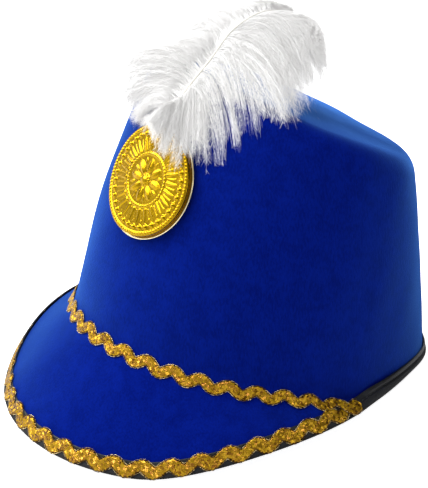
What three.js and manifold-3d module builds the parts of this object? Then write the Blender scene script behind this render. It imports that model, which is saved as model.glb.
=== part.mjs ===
// Marching band hat: a moulded felt crown and peak in one piece, a folded black edge
// binding, two gold zig-zag braids, a round relief badge and a white feather plume.
// Millimetres, +Z up. The wearer looks along -Y and the wearer's left is +X.
// Angles round the hat start at the front and grow towards the wearer's left.
import * as THREE from 'three';
import { mergeVertices } from 'three/addons/utils/BufferGeometryUtils.js';
import Module from 'manifold-3d';

const GAP = 0.3;
const AROUND = 60;
const SIDE_CROWDING = 0.12;

// Felt body
const FELT = 2.2;
const CROWN_BASE = { halfWidth: 87.5, halfLength: 95.8, middleY: 22.2 };
const CROWN_TOP = { halfWidth: 80, halfLength: 55.2, middleY: 45, middleZ: 148.5, slope: -0.538, dome: 3 };
const BELLY = { front: 6.5, back: 0 };
const SHOULDER = 6;
const JOIN = { frontZ: 46.9, backZ: 3.1, power: 1.474, blend: 3, clearOfTape: 2.5 };
const FILLET = { size: 10, shareOfPeak: 0.8 };
const PEAK = { reach: 44.4, endAngle: 123, power: 1.78, bow: 1.5 };
const RIM = { sideArch: 14, flatSine: 0.45 };

// Edge binding: tape folded over the felt edge, with a lip, a sewn groove and a roll outside,
// which lie flat under the edge braid and stand up round the back
const TAPE = 0.8;
const BINDING = { leg: 6, clear: 0.45, groove: 3.1, grooveHalf: 0.5, lip: 1.4, roll: 1.8 };
const BINDING_FLAT = { from: 86, to: 102, rise: BINDING.clear + TAPE };

// Braids: the end and one upper crest as angles, the height of the zig-zag and the length of one wave
const BRAID = { half: 3, thick: 1.1, bevel: 0.7, clear: 0.45, stepsPerWave: 6, fine: 400 };
const JOIN_BRAID = { end: 89.4, crest: 39.4, wave: 2.05, pitch: 14.55 };
const JOIN_BRAID_DIP = { from: 62, to: 90, depth: 9.5, climbFrom: 66, climbTo: 75, over: 3.2 };
const EDGE_BRAID = { end: 85.5, crest: 36, wave: 1.75, pitch: 14.85, aboveEdge: 3.3 };

// Badge: flat disc bent about its upright axis to sit on the front of the crown
const BADGE = { radius: 30, upWall: 0.613, bend: 170, flange: 0.8, wallRadius: 28.7, face: 3, sides: 30 };
const BADGE_RING = { height: 3.8, width: 1.2, slope: 0.5 };
const BADGE_BACK_STEP = 7.5;
const BEADS = { count: 36, ring: 24.2, size: 1.65 };
const RAYS = { count: 24, inner: 14.6, outer: 22, half: 1.5, rise: 1.3 };
const PETALS = { count: 8, ring: 7.4, long: 4.2, wide: 2.4, rise: 1.5 };
const BOSS = { radius: 3.6, rise: 2 };
const QUILL_GROOVE = { half: 1.4, depth: 1.9, foot: 18 };

// Plume: points along the quill and along the tips of the locks on either side
const QUILL = { radius: 1, sides: 6, steps: 28 };
const QUILL_FOOT = [{ up: 20, out: 0.4 }, { up: 31, out: 0.5 }];
const QUILL_LINE = [
  { x: 0.5, y: -27.5, z: 163 },
  { x: 1, y: -18, z: 173 },
  { x: 1, y: -4, z: 184.5 },
  { x: 0.5, y: 11, z: 197 },
  { x: 0, y: 31, z: 201.5 },
  { x: -1, y: 50, z: 193 },
  { x: -2, y: 59, z: 178 },
];
const NEAR_TIPS = [
  { x: 27, y: -40, z: 149 },
  { x: 33, y: -34, z: 147 },
  { x: 45, y: -19, z: 166 },
  { x: 52, y: -7, z: 174 },
  { x: 53, y: 7, z: 176 },
  { x: 47, y: 23, z: 175 },
  { x: 38, y: 39, z: 176 },
  { x: 12, y: 62, z: 167 },
];
const FAR_TIPS = [
  { x: -20, y: -33, z: 155 },
  { x: -42, y: -29, z: 157 },
  { x: -48, y: -25, z: 168 },
  { x: -46, y: -14, z: 178 },
  { x: -45, y: 4, z: 181 },
  { x: -46, y: 21, z: 186 },
  { x: -36, y: 41, z: 189 },
  { x: -12, y: 64, z: 182 },
];
const LOCKS = { perSide: 12, from: 0.2, to: 0.985, width: 17, tipWidth: 6, thick: 4, lift: 9, steps: 3 };
const LOCK_TAPER = { widthPower: 1.5, thin: 0.6, narrowTowardsTip: 0.25 };

const SMALL_TURN = 0.01;
const UP = new THREE.Vector3(0, 0, 1);
const outward = (angle) => new THREE.Vector3(Math.sin(angle), -Math.cos(angle), 0);
const degrees = THREE.MathUtils.degToRad;
const point = ({ x, y, z }) => new THREE.Vector3(x, y, z);
const smoothMax = (a, b, blend) => (a + b + Math.hypot(a - b, blend)) / 2;

// Angle of a step round the hat, from the back over the front, closer together at the sides
function stationAngle(i) {
  const even = -Math.PI + (2 * Math.PI * i) / AROUND;
  return even + SIDE_CROWDING * Math.sin(2 * even);
}

// Felt body surface

function rimHeight(angle) {
  return RIM.sideArch * THREE.MathUtils.smoothstep(Math.abs(Math.sin(angle)), RIM.flatSine, 1);
}

function joinPoint(angle) {
  const towardsFront = ((1 + Math.cos(angle)) / 2) ** JOIN.power;
  const free = JOIN.backZ + (JOIN.frontZ - JOIN.backZ) * towardsFront;
  const slope = BINDING.leg + BINDING.clear + TAPE + JOIN.clearOfTape;
  const lowest = rimHeight(angle) + Math.sqrt(Math.max(slope ** 2 - peakReach(angle) ** 2, 0));
  return new THREE.Vector3(
    CROWN_BASE.halfWidth * Math.sin(angle),
    CROWN_BASE.middleY - CROWN_BASE.halfLength * Math.cos(angle),
    smoothMax(free, lowest, JOIN.blend),
  );
}

function peakReach(angle) {
  const share = Math.abs(angle) / degrees(PEAK.endAngle);
  return share < 1 ? PEAK.reach * Math.cos((share * Math.PI) / 2) ** PEAK.power : 0;
}

// Lower edge of the felt, on its outer face, raised so that the binding stands on the table
function edgePoint(angle) {
  const join = joinPoint(angle);
  const out = outward(angle);
  const rim = join.clone().addScaledVector(out, peakReach(angle)).setZ(rimHeight(angle));
  const down = rim.clone().sub(join).normalize();
  const lean = down.dot(out);
  const below = BINDING.clear + TAPE;
  const lift = below * -down.z + (FELT + below) * lean;
  return rim.addScaledVector(out, -below * lean).addScaledVector(UP, lift);
}

function topPoint(angle, share = 1) {
  const y = -CROWN_TOP.halfLength * Math.cos(angle) * share;
  const z = CROWN_TOP.middleZ + CROWN_TOP.slope * y + CROWN_TOP.dome * (1 - share ** 2);
  return new THREE.Vector3(CROWN_TOP.halfWidth * Math.sin(angle) * share, CROWN_TOP.middleY + y, z);
}

function wallPoint(angle, share) {
  const front = (1 + Math.cos(angle)) / 2;
  const belly = BELLY.back + (BELLY.front - BELLY.back) * front;
  const onChord = joinPoint(angle).lerp(topPoint(angle), share);
  return onChord.addScaledVector(outward(angle), 4 * belly * share * (1 - share));
}

function peakPoint(angle, share) {
  const join = joinPoint(angle);
  const edge = edgePoint(angle);
  const bow = (4 * PEAK.bow * share * (1 - share) * peakReach(angle)) / PEAK.reach;
  return join.lerp(edge, share).addScaledVector(UP, bow);
}

function curveBetween(start, corner, end, share) {
  const first = start.clone().lerp(corner, share);
  const second = corner.clone().lerp(end, share);
  return first.lerp(second, share);
}

function lengthsAt(angle) {
  const join = joinPoint(angle);
  const peak = edgePoint(angle).distanceTo(join);
  const wall = topPoint(angle).distanceTo(join);
  return { wall, peak, fillet: Math.min(FILLET.size, FILLET.shareOfPeak * (peak - BINDING.leg)) };
}

// Outer felt face, measured in millimetres down from the join: negative up the wall
function skin(angle, down) {
  const { wall, peak, fillet } = lengthsAt(angle);
  if (down <= -fillet) {
    return wallPoint(angle, -down / wall);
  }
  if (down >= fillet) {
    return peakPoint(angle, down / peak);
  }
  const upper = wallPoint(angle, fillet / wall);
  const lower = peakPoint(angle, fillet / peak);
  return curveBetween(upper, joinPoint(angle), lower, (down + fillet) / (2 * fillet));
}

function skinNormal(angle, down) {
  const step = 0.4;
  const round = skin(angle + SMALL_TURN, down).sub(skin(angle - SMALL_TURN, down));
  const along = skin(angle, down + step).sub(skin(angle, down - step));
  return along.cross(round).normalize();
}

function aboveSkin(angle, down, rise) {
  return skin(angle, down).addScaledVector(skinNormal(angle, down), rise);
}

// Mesh helpers

function meshGeometry(points, triangles) {
  const geometry = new THREE.BufferGeometry().setFromPoints(points);
  let volume = 0;
  for (const [a, b, c] of triangles) {
    volume += points[a].dot(points[b].clone().cross(points[c]));
  }
  const facingOut = volume > 0 ? triangles : triangles.map(([a, b, c]) => [a, c, b]);
  geometry.setIndex(facingOut.flat());
  return geometry;
}

// Two triangles for a four-sided face, cut along its shorter diagonal
function cutFace(points, a, b, c, d) {
  if (points[a].distanceTo(points[c]) <= points[b].distanceTo(points[d])) {
    return [[a, b, c], [a, c, d]];
  }
  return [[a, b, d], [b, c, d]];
}

// Joins sections of equal point count, either into a closed ring or into a capped strip
function sweep(sections, closed) {
  const count = sections[0].length;
  const points = sections.flat();
  const triangles = [];
  const spans = closed ? sections.length : sections.length - 1;
  for (let i = 0; i < spans; i += 1) {
    const here = i * count;
    const next = ((i + 1) % sections.length) * count;
    for (let j = 0; j < count; j += 1) {
      const k = (j + 1) % count;
      triangles.push(...cutFace(points, here + j, next + j, next + k, here + k));
    }
  }
  if (!closed) {
    const last = points.length - count;
    for (let j = 1; j < count - 1; j += 1) {
      triangles.push([0, j, j + 1], [last, last + j + 1, last + j]);
    }
  }
  return meshGeometry(points, triangles);
}

const wasm = await Module();
wasm.setup();

function toSolid(geometry) {
  const bare = geometry.clone();
  bare.deleteAttribute('normal');
  bare.deleteAttribute('uv');
  const merged = mergeVertices(bare);
  const vertProperties = new Float32Array(merged.getAttribute('position').array);
  const triVerts = new Uint32Array(merged.index.array);
  return new wasm.Manifold(new wasm.Mesh({ numProp: 3, vertProperties, triVerts }));
}

function fromSolid(solid) {
  const { vertProperties, triVerts } = solid.getMesh();
  const geometry = new THREE.BufferGeometry();
  geometry.setAttribute('position', new THREE.BufferAttribute(vertProperties, 3));
  geometry.setIndex(new THREE.BufferAttribute(triVerts, 1));
  return geometry;
}

const fuse = (geometries) => geometries.map(toSolid).reduce((whole, piece) => whole.add(piece));

// Felt body

function feltProfile(angle) {
  const { wall, peak, fillet } = lengthsAt(angle);
  const shoulderTop = topPoint(angle, 1 - SHOULDER / topPoint(angle).distanceTo(topPoint(angle, 0)));
  const shoulderWall = wallPoint(angle, 1 - SHOULDER / wall);
  const profile = [0.35, 0.7].map((share) => topPoint(angle, share));
  for (const share of [0, 0.25, 0.5, 0.75, 1]) {
    profile.push(curveBetween(shoulderTop, topPoint(angle), shoulderWall, share));
  }
  for (const share of [0.75, 0.5, 0.25]) {
    profile.push(skin(angle, -fillet - (wall - SHOULDER - fillet) * share));
  }
  for (const share of [-1, -0.33, 0.33, 1]) {
    profile.push(skin(angle, fillet * share));
  }
  const tapeTop = peak - BINDING.leg;
  for (const down of [(fillet + tapeTop) / 2, tapeTop, peak]) {
    profile.push(skin(angle, down));
  }
  return profile;
}

function feltBody() {
  const outer = [];
  for (let i = 0; i < AROUND; i += 1) {
    outer.push(feltProfile(stationAngle(i)));
  }
  const rows = outer[0].length;
  const topMiddle = topPoint(0, 0);
  const inner = outer.map((profile, i) => {
    const before = feltProfile(stationAngle(i) - SMALL_TURN);
    const after = feltProfile(stationAngle(i) + SMALL_TURN);
    return profile.map((here, row) => {
      const above = row > 0 ? profile[row - 1] : topMiddle;
      const below = row < rows - 1 ? profile[row + 1] : here;
      const along = below.clone().sub(above);
      const round = after[row].clone().sub(before[row]);
      return here.clone().addScaledVector(along.cross(round).normalize(), -FELT);
    });
  });
  const points = [topMiddle, topMiddle.clone().addScaledVector(UP, -FELT), ...outer.flat(), ...inner.flat()];
  const outerAt = (i, row) => 2 + (i % AROUND) * rows + row;
  const innerAt = (i, row) => outerAt(i, row) + AROUND * rows;
  const triangles = [];
  for (let i = 0; i < AROUND; i += 1) {
    triangles.push([0, outerAt(i, 0), outerAt(i + 1, 0)], [1, innerAt(i + 1, 0), innerAt(i, 0)]);
    for (let row = 0; row < rows - 1; row += 1) {
      const [a, b] = [outerAt(i, row), outerAt(i, row + 1)];
      const [c, d] = [outerAt(i + 1, row + 1), outerAt(i + 1, row)];
      const [e, f] = [innerAt(i, row), innerAt(i, row + 1)];
      const [g, h] = [innerAt(i + 1, row + 1), innerAt(i + 1, row)];
      triangles.push(...cutFace(points, a, b, c, d), ...cutFace(points, h, g, f, e));
    }
    const last = rows - 1;
    const [a, b] = [outerAt(i, last), outerAt(i + 1, last)];
    const [c, d] = [innerAt(i + 1, last), innerAt(i, last)];
    triangles.push(...cutFace(points, a, d, c, b));
  }
  return meshGeometry(points, triangles);
}

// Edge binding

function edgeBinding() {
  const { leg, clear, groove, grooveHalf, lip, roll } = BINDING;
  const under = clear + TAPE;
  const inside = -(FELT + clear);
  const section = [
    { along: -leg, rise: clear },
    { along: -leg, rise: clear + TAPE },
    { along: -groove - grooveHalf, rise: lip },
    { along: -groove, rise: clear + TAPE / 2 },
    { along: -groove + grooveHalf, rise: roll },
    { along: 0, rise: roll },
    { along: under, rise: clear },
    { along: under, rise: inside - TAPE },
    { along: -leg, rise: inside - TAPE },
    { along: -leg, rise: inside },
    { along: clear, rise: inside },
    { along: clear, rise: clear },
  ];
  const sections = [];
  for (let i = 0; i < AROUND; i += 1) {
    const angle = stationAngle(i);
    const edge = lengthsAt(angle).peak;
    const round = THREE.MathUtils.smoothstep(
      Math.abs(angle),
      degrees(BINDING_FLAT.from),
      degrees(BINDING_FLAT.to),
    );
    sections.push(section.map(({ along, rise }) => {
      const flat = Math.min(rise, BINDING_FLAT.rise);
      return aboveSkin(angle, edge + along, THREE.MathUtils.lerp(flat, rise, round));
    }));
  }
  return sweep(sections, true);
}

// Zig-zag braids

// Value at a place in a rising list of places, from the list of values that goes with it
function lookUp(place, places, values) {
  let i = 1;
  while (i < places.length - 1 && places[i] < place) {
    i += 1;
  }
  const share = (place - places[i - 1]) / (places[i] - places[i - 1]);
  return THREE.MathUtils.lerp(values[i - 1], values[i], share);
}

// Follows downAt(angle) between the two ends, riseAt(angle) off the felt, and waves to either side
function braid(size, downAt, riseAt) {
  const { half, thick, bevel, stepsPerWave, fine } = BRAID;
  const angles = [];
  const lengths = [0];
  for (let i = 0; i <= fine; i += 1) {
    angles.push(degrees(THREE.MathUtils.lerp(-size.end, size.end, i / fine)));
  }
  for (let i = 1; i <= fine; i += 1) {
    const before = skin(angles[i - 1], downAt(angles[i - 1]));
    lengths.push(lengths[i - 1] + skin(angles[i], downAt(angles[i])).distanceTo(before));
  }
  const total = lengths[fine];
  const crest = lookUp(degrees(size.crest), angles, lengths);
  const step = size.pitch / stepsPerWave;
  const places = [0];
  for (let place = crest % step; place < total - step / 2; place += step) {
    if (place > step / 2) {
      places.push(place);
    }
  }
  places.push(total);
  const sections = places.map((place) => {
    const angle = lookUp(place, lengths, angles);
    const middle = downAt(angle) - size.wave * Math.cos((2 * Math.PI * (place - crest)) / size.pitch);
    const rise = riseAt(angle);
    return [
      aboveSkin(angle, middle - half, rise),
      aboveSkin(angle, middle + half, rise),
      aboveSkin(angle, middle + half - bevel, rise + thick),
      aboveSkin(angle, middle - half + bevel, rise + thick),
    ];
  });
  return sweep(sections, false);
}

// Runs along the join of crown and peak, then down to the rim and over the ends of the edge braid
function joinBraid() {
  const { from, to, depth, climbFrom, climbTo, over } = JOIN_BRAID_DIP;
  const turned = (angle) => THREE.MathUtils.radToDeg(Math.abs(angle));
  const downAt = (angle) => depth * THREE.MathUtils.clamp((turned(angle) - from) / (to - from), 0, 1) ** 2;
  const climb = (angle) => THREE.MathUtils.smoothstep(turned(angle), climbFrom, climbTo);
  return braid(JOIN_BRAID, downAt, (angle) => THREE.MathUtils.lerp(BRAID.clear, over, climb(angle)));
}

function edgeBraid() {
  const downAt = (angle) => lengthsAt(angle).peak - EDGE_BRAID.aboveEdge;
  return braid(EDGE_BRAID, downAt, () => BINDING_FLAT.rise + BRAID.clear);
}

// Badge

// Frame of the badge: its back middle on the felt, its upright and its outward axis
function badgeFrame() {
  const step = 0.01;
  const middle = wallPoint(0, BADGE.upWall);
  const up = wallPoint(0, BADGE.upWall + step).sub(wallPoint(0, BADGE.upWall - step)).normalize();
  const out = new THREE.Vector3(1, 0, 0).cross(up);
  return { origin: middle.addScaledVector(out, GAP), up, out };
}

function onBadge(x, up, out) {
  const frame = badgeFrame();
  const turn = x / BADGE.bend;
  const radius = BADGE.bend + out;
  return frame.origin
    .setX(radius * Math.sin(turn))
    .addScaledVector(frame.up, up)
    .addScaledVector(frame.out, radius * Math.cos(turn) - BADGE.bend);
}

// Inward profile of a ring that stands above the badge's face
function raisedRing(outer) {
  const { height, width, slope } = BADGE_RING;
  return [
    new THREE.Vector2(outer - slope, height),
    new THREE.Vector2(outer - slope - width, height),
    new THREE.Vector2(outer - 2 * slope - width, BADGE.face),
  ];
}

function badge() {
  const { radius, flange, wallRadius, face, sides } = BADGE;
  const disc = [];
  for (let r = 0; r < radius; r += BADGE_BACK_STEP) {
    disc.push(new THREE.Vector2(r, 0));
  }
  disc.push(new THREE.Vector2(radius, 0), new THREE.Vector2(radius, flange));
  disc.push(new THREE.Vector2(wallRadius, flange), ...raisedRing(wallRadius));
  disc.push(new THREE.Vector2(RAYS.inner, face), ...raisedRing(RAYS.inner), new THREE.Vector2(0, face));
  const pieces = [new THREE.LatheGeometry(disc, sides).rotateX(Math.PI / 2)];
  for (let i = 0; i < BEADS.count; i += 1) {
    const turn = (2 * Math.PI * i) / BEADS.count;
    const bead = new THREE.IcosahedronGeometry(BEADS.size, 0);
    pieces.push(bead.translate(BEADS.ring, 0, face).rotateZ(turn));
  }
  for (let i = 0; i < RAYS.count; i += 1) {
    const turn = (2 * Math.PI * i) / RAYS.count;
    const ray = new THREE.ConeGeometry(1, RAYS.outer - RAYS.inner, 4).rotateZ(Math.PI / 2);
    ray.scale(1, RAYS.half, RAYS.rise).translate((RAYS.outer + RAYS.inner) / 2, 0, face);
    pieces.push(ray.rotateZ(turn));
  }
  for (let i = 0; i < PETALS.count; i += 1) {
    const turn = (2 * Math.PI * i) / PETALS.count;
    const petal = new THREE.SphereGeometry(1, 6, 4).scale(PETALS.long, PETALS.wide, PETALS.rise);
    pieces.push(petal.translate(PETALS.ring, 0, face).rotateZ(turn));
  }
  const boss = new THREE.SphereGeometry(1, 10, 6).scale(BOSS.radius, BOSS.radius, BOSS.rise);
  pieces.push(boss.translate(0, 0, face));
  const grooveLength = radius - QUILL_GROOVE.foot + GAP;
  const groove = new THREE.BoxGeometry(2 * QUILL_GROOVE.half, grooveLength, 2 * QUILL_GROOVE.depth);
  groove.translate(0, QUILL_GROOVE.foot + grooveLength / 2, 0);
  const geometry = fromSolid(fuse(pieces).subtract(toSolid(groove)));
  const places = geometry.getAttribute('position');
  for (let i = 0; i < places.count; i += 1) {
    const place = onBadge(places.getX(i), places.getY(i), places.getZ(i));
    places.setXYZ(i, place.x, place.y, place.z);
  }
  return geometry;
}

// Plume

function lock(root, tip, alongQuill, width) {
  const bend = root.clone().lerp(tip, 0.5).addScaledVector(UP, LOCKS.lift);
  const path = new THREE.QuadraticBezierCurve3(root, bend, tip);
  const sections = [];
  for (let i = 0; i <= LOCKS.steps; i += 1) {
    const share = i / LOCKS.steps;
    const middle = path.getPoint(share);
    const tangent = path.getTangent(share);
    const across = alongQuill.clone().addScaledVector(tangent, -alongQuill.dot(tangent)).normalize();
    const face = tangent.clone().cross(across);
    const half = THREE.MathUtils.lerp(width, LOCKS.tipWidth, share ** LOCK_TAPER.widthPower) / 2;
    const deep = (LOCKS.thick / 2) * (1 - LOCK_TAPER.thin * share);
    sections.push([
      middle.clone().addScaledVector(across, half),
      middle.clone().addScaledVector(face, deep),
      middle.clone().addScaledVector(across, -half),
      middle.clone().addScaledVector(face, -deep),
    ]);
  }
  return sweep(sections, false);
}

function plume() {
  const foot = QUILL_FOOT.map(({ up, out }) => onBadge(0, up, out));
  const quill = new THREE.CatmullRomCurve3([...foot, ...QUILL_LINE.map(point)]);
  const ring = new THREE.Shape();
  for (let i = 0; i < QUILL.sides; i += 1) {
    const turn = (2 * Math.PI * i) / QUILL.sides;
    const [x, y] = [QUILL.radius * Math.cos(turn), QUILL.radius * Math.sin(turn)];
    if (i === 0) {
      ring.moveTo(x, y);
    } else {
      ring.lineTo(x, y);
    }
  }
  const pieces = [new THREE.ExtrudeGeometry(ring, { steps: QUILL.steps, extrudePath: quill })];
  const sides = [{ tips: NEAR_TIPS, stagger: 0 }, { tips: FAR_TIPS, stagger: 0.5 }];
  for (const { tips, stagger } of sides) {
    const fringe = new THREE.CatmullRomCurve3(tips.map(point));
    for (let i = 0; i < LOCKS.perSide; i += 1) {
      const share = (i + stagger) / (LOCKS.perSide - 0.5);
      const along = THREE.MathUtils.lerp(LOCKS.from, LOCKS.to, share);
      const width = LOCKS.width * (1 - LOCK_TAPER.narrowTowardsTip * share);
      pieces.push(lock(quill.getPointAt(along), fringe.getPointAt(share), quill.getTangentAt(along), width));
    }
  }
  return fromSolid(fuse(pieces));
}

// Assembly

const felt = new THREE.MeshStandardMaterial({ color: '#1b3f9e', roughness: 0.95, metalness: 0 });
const blackTape = new THREE.MeshStandardMaterial({ color: '#0c0d10', roughness: 0.6, metalness: 0 });
const goldBraid = new THREE.MeshStandardMaterial({ color: '#b9851f', roughness: 0.4, metalness: 0.6 });
const goldPlastic = new THREE.MeshStandardMaterial({ color: '#dbb015', roughness: 0.3, metalness: 0.5 });
const feather = new THREE.MeshStandardMaterial({ color: '#eeeeee', roughness: 0.9, metalness: 0 });

const PIECES = [
  { name: 'felt_body', make: feltBody, material: felt },
  { name: 'edge_binding', make: edgeBinding, material: blackTape },
  { name: 'join_braid', make: joinBraid, material: goldBraid },
  { name: 'edge_braid', make: edgeBraid, material: goldBraid },
  { name: 'badge', make: badge, material: goldPlastic },
  { name: 'plume', make: plume, material: feather },
];

const hat = new THREE.Group();
for (const { name, make, material } of PIECES) {
  const piece = new THREE.Mesh(make(), material);
  piece.name = name;
  hat.add(piece);
}

export default hat;
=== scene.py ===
"""Marching band hat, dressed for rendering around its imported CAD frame.

The wearer looks along -Y and the wearer's left is +X. Angles round the hat start at
the front and grow towards the wearer's left. Shapes are worked out in millimetres.
"""
import math

import bpy
import numpy as np
from mathutils import Matrix


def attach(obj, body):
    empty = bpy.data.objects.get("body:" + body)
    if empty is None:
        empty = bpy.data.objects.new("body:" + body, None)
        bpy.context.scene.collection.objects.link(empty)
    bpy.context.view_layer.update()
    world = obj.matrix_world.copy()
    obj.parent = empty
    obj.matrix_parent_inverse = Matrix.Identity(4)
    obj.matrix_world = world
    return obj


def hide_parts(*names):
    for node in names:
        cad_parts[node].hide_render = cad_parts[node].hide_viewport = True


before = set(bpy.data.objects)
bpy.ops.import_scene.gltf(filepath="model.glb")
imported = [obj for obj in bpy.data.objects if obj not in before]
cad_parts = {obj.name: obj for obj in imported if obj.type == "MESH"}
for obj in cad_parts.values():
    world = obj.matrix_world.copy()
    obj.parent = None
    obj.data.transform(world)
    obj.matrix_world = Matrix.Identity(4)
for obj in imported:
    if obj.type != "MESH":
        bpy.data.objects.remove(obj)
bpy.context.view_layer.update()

MM = 0.001
SEED = 41

# Camera, fitted to the photograph: angles in degrees, lengths in millimetres, pixels of the frame
CAMERA = {"turn": 52.9, "lift": 28.66, "distance": 1392.4, "focal_pixels": 2627.4}
CAMERA_TARGET = {"place": (0, 22.2, 55.8), "pixel": (250.57, 269.46)}
FRAME_PIXELS = (428, 488)
SENSOR = 36

# Felt body
FELT = 2.2
CROWN_BASE = {"half_width": 87.5, "half_length": 95.8, "middle_y": 22.2}
CROWN_TOP = {
    "half_width": 80, "half_length": 55.2, "middle_y": 45, "middle_z": 148.5, "slope": -0.538, "dome": 3,
}
BELLY = {"front": 6.5, "back": 0}
SHOULDER = 10
JOIN = {"front_z": 46.9, "back_z": 3.1, "power": 1.474, "blend": 3, "clear_of_tape": 2.5}
FILLET = {"size": 10, "share_of_peak": 0.8}
PEAK = {"reach": 44.4, "end": math.radians(123), "power": 1.78, "bow": 1.5}
RIM = {"side_arch": 14, "flat_sine": 0.45}
FELT_GRID = {"around": 250, "top": 16, "shoulder": 12, "wall": 34, "fillet": 14, "peak": 20}
FELT_UNEVEN = {"size": 0.22, "waves": 7, "longest": 75, "shortest": 22}
# Share of the top where its first ring lies, and rows over which the unevenness fades out to the edge
FELT_TOP_START = 0.04
FELT_EDGE_FADE = 12
# Points along a line on the felt that its length is measured by, and the step of the lines for trims
FINE_POINTS = 3000
TRACE_STEP = 0.1

# Edge binding: angles in degrees, distances below the felt edge and rises off the felt in millimetres
TAPE = 0.8
BINDING = {"leg": 6, "clear": 0.45}
BINDING_STEP = 0.34
BINDING_FRONT = {"rise": 0.5, "tilt": 0.22, "lip_half": 0.6, "from": 86, "to": 102}
# The upper edge of the front binding, which is sewn wider and fuller on the wearer's right
BINDING_TOP = {"left": -6.9, "right": -8.2, "left_lip": 0.3, "right_lip": 1.25, "from": 20, "to": 42}
# Limits that tell the points of the outline apart: above the groove, on the outer face, off the inner face
BINDING_LIMITS = {"groove": -3.4, "outer_rise": 0.6, "inner_rise": -0.6}
BINDING_MIDDLE = (-1.0, -0.8)
RIB = {"pitch": 1.35, "height": 0.11, "slant": 0.7}
STITCH = {
    "length": 2.3, "pitch": 3.1, "radius": 0.27, "along": -3.15, "rise": 0.5, "dive": 0.35,
    "steps": 6, "sides": 5,
}

# Braids: ribbon, woven strands, edge loops, and the two lines with their angles in degrees
BRAID = {"half": 3.0, "thick": 1.0, "step": 0.26, "across": 19, "scallop": 0.16, "edge_power": 6}
BRAID_END = {"taper": 3, "least": 0.12}
# Painted shade along the braid's edges: the weave tone fades to the dark shade colour over this share of the
# half width at each edge
BRAID_EDGE_SHADE = (0.02, 0.2)
STRAND = {"pitch": 1.3, "height": 0.3, "wave": 0.5, "round": 1.6, "lift": 0.4, "span": 0.9}
PICOT = {
    "pitch": 1.15, "reach": 0.42, "radius": 0.16, "tuck": 0.15, "rise": 0.22, "lift": 0.2,
    "steps": 6, "sides": 4,
}
JOIN_BRAID = {"end": 89.4, "pitch": 14.55, "crest": 39.4, "wave": 2.05, "rise": 0.25}
JOIN_BRAID_DIP = {"from": 62, "to": 90, "depth": 9.5, "over_from": 80, "over_to": 85, "over": 1.5}
EDGE_BRAID = {"end": 85.5, "pitch": 14.85, "crest": 36, "wave": 1.75, "rise": 0.54, "above_edge": 3.3}

# Badge: its place and bend, its flat face, the painted shade of its relief and rim wall, and the painted
# highlight along its rim lip
BADGE = {
    "up_wall": 0.613, "step": 0.01, "bend": 170, "gap": 0.3, "back": 25, "face": 3, "centre": 1.9,
    "turns": 600,
}
BADGE_FACE = {"outer": 28.35, "inner": 0.25, "rings": 98}
# Painted shade: relief lower than full_relief is painted darker, and the rim and its wall get the painted-shade
# tone rim
BADGE_RELIEF_SHADE = {"full_relief": 0.9, "rim": 0.1}
# Painted highlight: pale cream painted along the rim lip, above the given height and between the given radii
BADGE_RIM_HIGHLIGHT = {"above": 0.45, "from": 29.2, "to": 29.5}
# Outline of the rim from the back to the face: radius, height
BADGE_RIM = [
    (29.2, 0.0), (29.8, 0.02), (30.0, 0.12), (30.0, 0.5), (29.9, 0.75), (29.6, 0.85), (29.2, 0.7),
    (28.9, 0.62), (28.72, 0.75), (28.7, 1.3), (28.66, 2.0), (28.6, 2.7), (28.5, 3.1),
]
# Raised bands: middle radius, half width at the foot and at the top, height
BADGE_BANDS = [(27.3, 1.1, 0.7, 0.8), (13.5, 1.0, 0.6, 0.8)]
# Rings of studs: count, ring radius, turn in steps, stud radius, stretch along the radius, ground, rise.
# The ground is the least height that the whole face gets.
BADGE_STUDS = [
    (96, 27.4, 0.0, 0.8, 1.0, 0.55, 0.75),
    (36, 24.2, 0.0, 1.55, 1.0, 0.0, 1.65),
    (36, 24.2, 0.5, 0.5, 1.6, 0.0, 0.8),
    (24, 20.9, 0.5, 0.75, 1.0, 0.0, 0.8),
    (48, 13.5, 0.0, 0.72, 1.0, 0.6, 0.5),
    (8, 11.3, 0.0, 0.6, 1.0, 0.0, 0.7),
]
# Rays: turn in steps, rise, inner and outer radius, half width
BADGE_RAYS = [(0.0, 1.1, 15.0, 22.0, 1.7), (0.5, 0.7, 15.6, 21.8, 1.3)]
RAY = {"count": 24, "taper": 0.85, "edge": 0.35, "steep": 1.4}
# Petals: turn in steps, ring radius, half length, half width, rise
BADGE_PETALS = [(0.0, 7.4, 4.2, 2.4, 1.5), (0.5, 9.6, 2.2, 1.2, 0.9)]
PETAL = {"count": 8, "ground": 0.85, "vein": 0.25, "vein_half": 0.28, "ripple": 0.12, "along": 4.2, "across": 3}
BOSS = {"radius": 3.6, "rise": 2.0, "dimples": 12, "ring": 2.5, "dimple": 0.5, "depth": 0.25}

# Plume: quill, and its foot as millimetres up the badge and out from its back
QUILL = {"radius": 0.95, "tip": 0.3, "sides": 12, "points": 160}
QUILL_FOOT = [(20, 0.4), (31, 0.5)]
QUILL_LINE = [
    (0.5, -27.5, 163), (1, -18, 173), (1, -4, 184.5), (0.5, 11, 197),
    (0, 31, 201.5), (-1, 50, 193), (-2, 59, 178),
]
# How barbs gather into locks, stray, bend and curl. Pairs are the least and the most of a random value.
BARB = {
    "lock_jitter": 0.3, "lock_short": 0.6, "lock_over": 1.05, "lock_arch": (0.7, 1.3),
    "within": 0.5, "root_spread": 0.9, "tip_spread": 0.45, "look_back": 0.03, "stray": (0.3, 1.3), "over": 1.04,
    "bend_at": 0.45, "bend_scatter": 1.3, "arch_scatter": 1.5, "lean": (0.6, 1.4),
    "curl": (0.2, 1.1), "curl_turn": (4, 9), "curl_start": (0, 6), "sag": (0, 2.5),
}
VANE_STRAND = {"steps": 8, "width": 0.2, "vary": (0.7, 1.2)}
VANE_BARB = {"steps": 9, "width": 0.3}
VANE_TAPER = 1.1
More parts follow.
